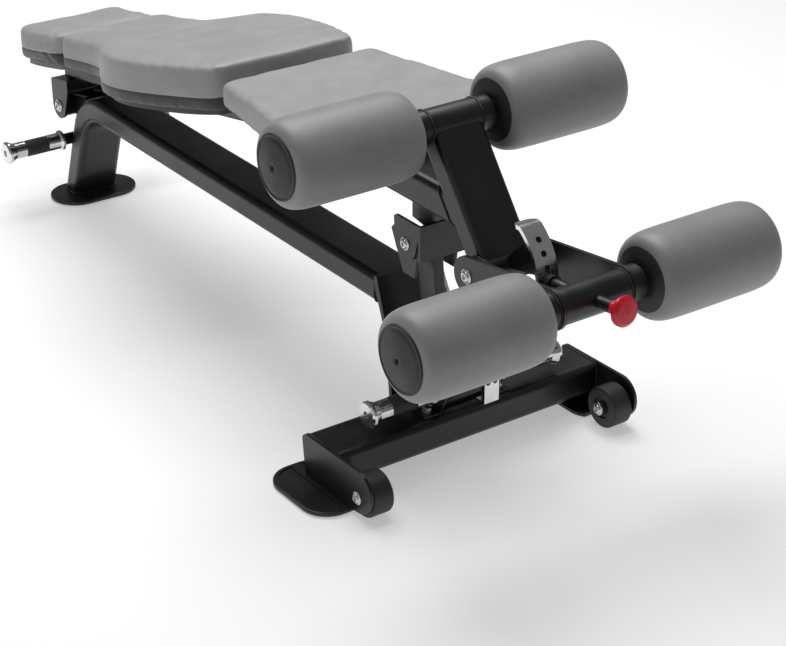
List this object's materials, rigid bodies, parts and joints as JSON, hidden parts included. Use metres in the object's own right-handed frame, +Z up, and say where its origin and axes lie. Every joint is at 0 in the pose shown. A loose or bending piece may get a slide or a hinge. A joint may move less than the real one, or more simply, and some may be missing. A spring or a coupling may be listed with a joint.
{
  "type": "adjustable weight bench",
  "caption": "Tilting abdominal and decline bench with grey pads, foam leg rollers, a swinging foot arm and transport wheels.",
  "frame": {"origin": "on the floor, under the centre of the whole bench's plan box", "axes": "+Z up, +Y towards the head end, -Y towards the leg rollers, +X to the side"},
  "size_m": [0.73, 1.8306, 0.664],
  "materials": {
    "frame_paint": "satin black powder coat",
    "plated_steel": "bright zinc and chrome plate",
    "bolt_steel": "zinc plated, semi-bright",
    "black_rubber": "matt black rubber",
    "wheel_rubber": "matt black",
    "black_plastic": "fine grained black plastic",
    "red_plastic": "glossy red",
    "board_ply": "plywood painted dark",
    "pad_vinyl": "grey upholstery vinyl, charcoal lower band",
    "roller_vinyl": "smooth grey vinyl over foam"
  },
  "bodies": {
    "base_frame": {"main_beam": "frame_paint", "rear_foot_plate": "frame_paint", "foot_pads": "black_rubber", "tilt_pivot_sleeve": "frame_paint", "lift_bar": "frame_paint", "lift_bar_grips": "black_rubber", "lift_bar_caps": "plated_steel", "front_plate": "frame_paint", "base_tube": "frame_paint", "end_plates": "frame_paint", "front_foot_plates": "frame_paint", "wheel_bolts": "bolt_steel", "post": "frame_paint", "post_bush": "black_plastic", "lever_pin": "bolt_steel", "release_guides": "frame_paint", "guide_bolts": "bolt_steel", "stop_plate": "plated_steel"},
    "lift_column": {"lift_column": "frame_paint"},
    "release_lever": {"release_lever": "plated_steel", "release_bar": "frame_paint", "release_bar_grips": "black_rubber", "release_bar_caps": "plated_steel"},
    "pad_frame": {"seat_tube": "frame_paint", "upright": "frame_paint", "back_tube": "frame_paint", "upper_cross_tube": "frame_paint", "front_bracket": "frame_paint", "rest_bolt": "bolt_steel", "rear_bracket": "frame_paint", "tilt_bolt": "bolt_steel", "arm_pivot_sleeve": "frame_paint", "sector_strip": "plated_steel", "sector_web": "frame_paint", "seat_board": "board_ply", "back_board": "board_ply", "head_board": "board_ply", "seat_pad": "pad_vinyl", "back_pad": "pad_vinyl", "head_pad": "pad_vinyl", "pad_straps": "frame_paint", "pad_screws": "bolt_steel"},
    "swing_arm": {"arm_plates": "frame_paint", "lower_cross_tube": "frame_paint", "arm_bolt": "bolt_steel", "plunger_sleeves": "frame_paint"},
    "arm_plunger": {"plunger_pin": "plated_steel", "plunger_knob": "red_plastic"},
    "lower_left_roller": {"lower_left_foam": "roller_vinyl", "lower_left_core": "black_plastic"},
    "lower_right_roller": {"lower_right_foam": "roller_vinyl", "lower_right_core": "black_plastic"},
    "upper_left_roller": {"upper_left_foam": "roller_vinyl", "upper_left_core": "black_plastic"},
    "upper_right_roller": {"upper_right_foam": "roller_vinyl", "upper_right_core": "black_plastic"},
    "left_wheel": {"left_wheel_tyre": "wheel_rubber", "left_wheel_hub": "black_plastic"},
    "right_wheel": {"right_wheel_tyre": "wheel_rubber", "right_wheel_hub": "black_plastic"}
  },
  "joints": [
    {"name": "pad_tilt", "type": "hinge", "parent": "base_frame", "child": "pad_frame", "pos_m": [0, 0.867, 0.209], "axis": [-1, 0, 0], "range_deg": [0, 6.68]},
    {"name": "column_lift", "type": "slide", "parent": "base_frame", "child": "lift_column", "axis": [0, 0.122, 0.9925], "range_m": [0, 0.1505]},
    {"name": "tilt_release", "type": "hinge", "parent": "base_frame", "child": "release_lever", "pos_m": [0, -0.4, 0.318], "axis": [-1, 0, 0], "range_deg": [0, 3.5], "stiffness_Nm_per_rad": 12, "springref_deg": -8.59},
    {"name": "arm_swing", "type": "hinge", "parent": "pad_frame", "child": "swing_arm", "pos_m": [0, -0.6075, 0.388], "axis": [-1, 0, 0], "range_deg": [0, 34.5]},
    {"name": "plunger_pull", "type": "slide", "parent": "swing_arm", "child": "arm_plunger", "axis": [0, -0.992, 0.126], "range_m": [0, 0.012], "stiffness_N_per_m": 900, "springref_m": -0.012},
    {"name": "lower_left_roller_spin", "type": "hinge", "parent": "swing_arm", "child": "lower_left_roller", "pos_m": [0, -0.82, 0.415], "axis": [1, 0, 0], "continuous": true},
    {"name": "lower_right_roller_spin", "type": "hinge", "parent": "swing_arm", "child": "lower_right_roller", "pos_m": [0, -0.82, 0.415], "axis": [1, 0, 0], "continuous": true},
    {"name": "upper_left_roller_spin", "type": "hinge", "parent": "pad_frame", "child": "upper_left_roller", "pos_m": [0, -0.455, 0.589], "axis": [1, 0, 0], "continuous": true},
    {"name": "upper_right_roller_spin", "type": "hinge", "parent": "pad_frame", "child": "upper_right_roller", "pos_m": [0, -0.455, 0.589], "axis": [1, 0, 0], "continuous": true},
    {"name": "left_wheel_spin", "type": "hinge", "parent": "base_frame", "child": "left_wheel", "pos_m": [0, -0.598, 0.04], "axis": [1, 0, 0], "continuous": true},
    {"name": "right_wheel_spin", "type": "hinge", "parent": "base_frame", "child": "right_wheel", "pos_m": [0, -0.598, 0.04], "axis": [1, 0, 0], "continuous": true}
  ],
  "couplings": [
    {"joint": "column_lift", "follows": "pad_tilt", "m_per_rad": 1.2866}
  ]
}
